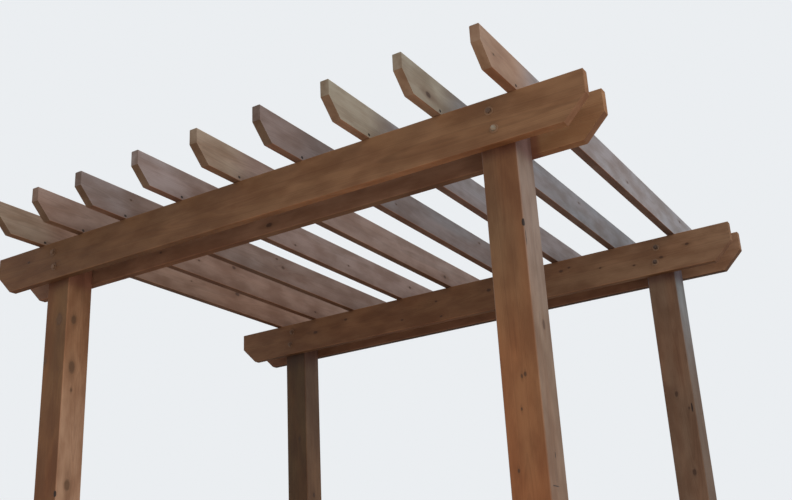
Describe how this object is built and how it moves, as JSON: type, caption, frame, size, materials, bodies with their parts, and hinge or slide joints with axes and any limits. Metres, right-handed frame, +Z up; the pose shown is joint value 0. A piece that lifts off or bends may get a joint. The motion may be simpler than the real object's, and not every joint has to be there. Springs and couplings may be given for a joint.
{
  "type": "pergola",
  "caption": "Free-standing timber pergola: square posts, paired beams bolted to the posts, and open rafters with sloped tails laid across them.",
  "frame": {"origin": "on the ground, at the middle of the four posts. The middle of the whole outline lies 6.5 mm to the left of it, because the front beams were laid 13 mm to the left of even.", "axes": "+X along the beams to the right, +Y along the rafters from front to back, +Z up"},
  "size_m": [3.061, 2.579, 2.578],
  "materials": {
    "post_timber": "red-brown semi-transparent stain on planed cedar",
    "beam_timber": "red-brown semi-transparent stain on planed cedar",
    "rafter_timber": "red-brown semi-transparent stain on planed cedar, a little greyed"
  },
  "bodies": {
    "root": {"front_left_post": "post_timber", "front_right_post": "post_timber", "back_left_post": "post_timber", "back_right_post": "post_timber", "front_outer_beam": "beam_timber", "front_inner_beam": "beam_timber", "back_inner_beam": "beam_timber", "back_outer_beam": "beam_timber", "rafter_1": "rafter_timber", "rafter_2": "rafter_timber", "rafter_3": "rafter_timber", "rafter_4": "rafter_timber", "rafter_5": "rafter_timber", "rafter_6": "rafter_timber", "rafter_7": "rafter_timber", "rafter_8": "rafter_timber", "rafter_9": "rafter_timber"}
  },
  "joints": []
}
